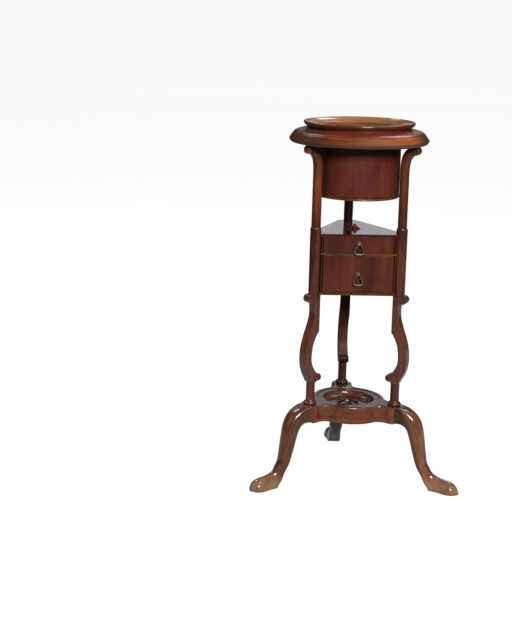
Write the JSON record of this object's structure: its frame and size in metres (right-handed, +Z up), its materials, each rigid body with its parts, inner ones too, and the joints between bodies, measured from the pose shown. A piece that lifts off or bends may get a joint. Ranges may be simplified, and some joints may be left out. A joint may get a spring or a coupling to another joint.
{
  "type": "basin stand",
  "caption": "Mahogany tripod basin stand: moulded ring with lift-out drum, scrolled uprights, triangular drawer case with brass drop pulls, dished platform and slipper feet.",
  "frame": {"origin": "on the stand's upright axis, at the floor", "axes": "+Z up, -Y towards the front that the drawers open to, +X to the right of someone facing the drawers"},
  "size_m": [0.4702, 0.4253, 0.825],
  "materials": {
    "mahogany": "glossy french polish, worn lighter on the feet and edges",
    "drawer_lining": "plain sawn, unpolished",
    "brass": "dull aged brass"
  },
  "bodies": {
    "stand": {"case_bottom": "mahogany", "case_side_left": "mahogany", "case_side_right": "mahogany", "case_top": "mahogany", "drawer_divider": "mahogany", "front_bead_lower_left": "mahogany", "front_bead_lower_right": "mahogany", "front_bead_upper_left": "mahogany", "front_bead_upper_right": "mahogany", "leg_front_left": "mahogany", "leg_front_right": "mahogany", "leg_rear": "mahogany", "lower_scroll_front_left": "mahogany", "lower_scroll_front_right": "mahogany", "lower_scroll_rear": "mahogany", "platform": "mahogany", "spindle_front_left": "mahogany", "spindle_front_right": "mahogany", "spindle_rear": "mahogany", "stile_front_left": "mahogany", "stile_front_right": "mahogany", "stile_rear": "mahogany", "top_boss": "mahogany", "top_ring": "mahogany", "upper_post_front_left": "mahogany", "upper_post_front_right": "mahogany", "upper_post_rear": "mahogany"},
    "liner": {"drum_wall": "mahogany", "drum_bottom": "mahogany", "drum_base_bead": "mahogany", "collar": "mahogany", "rim": "mahogany"},
    "upper_drawer": {"upper_drawer_back": "drawer_lining", "upper_drawer_bottom": "drawer_lining", "upper_drawer_front": "mahogany", "upper_drawer_side_left": "drawer_lining", "upper_drawer_side_right": "drawer_lining", "upper_pull_plate": "brass", "upper_pull_eye_bolt": "brass", "upper_pull_nut": "brass"},
    "lower_drawer": {"lower_drawer_back": "drawer_lining", "lower_drawer_bottom": "drawer_lining", "lower_drawer_front": "mahogany", "lower_drawer_side_left": "drawer_lining", "lower_drawer_side_right": "drawer_lining", "lower_pull_plate": "brass", "lower_pull_eye_bolt": "brass", "lower_pull_nut": "brass"},
    "upper_pull": {"upper_pull_drop": "brass"},
    "lower_pull": {"lower_pull_drop": "brass"}
  },
  "joints": [
    {"name": "upper_drawer_slide", "type": "slide", "parent": "stand", "child": "upper_drawer", "axis": [0, -1, 0], "range_m": [0, 0.1]},
    {"name": "lower_drawer_slide", "type": "slide", "parent": "stand", "child": "lower_drawer", "axis": [0, -1, 0], "range_m": [0, 0.1]},
    {"name": "upper_pull_hinge", "type": "hinge", "parent": "upper_drawer", "child": "upper_pull", "pos_m": [0, -0.0692, 0.5555], "axis": [-1, 0, 0], "range_deg": [0, 110]},
    {"name": "lower_pull_hinge", "type": "hinge", "parent": "lower_drawer", "child": "lower_pull", "pos_m": [0, -0.0692, 0.4855], "axis": [-1, 0, 0], "range_deg": [0, 110]},
    {"name": "liner_lift", "type": "slide", "parent": "stand", "child": "liner", "axis": [0, 0, 1], "range_m": [0, 0.15]}
  ]
}
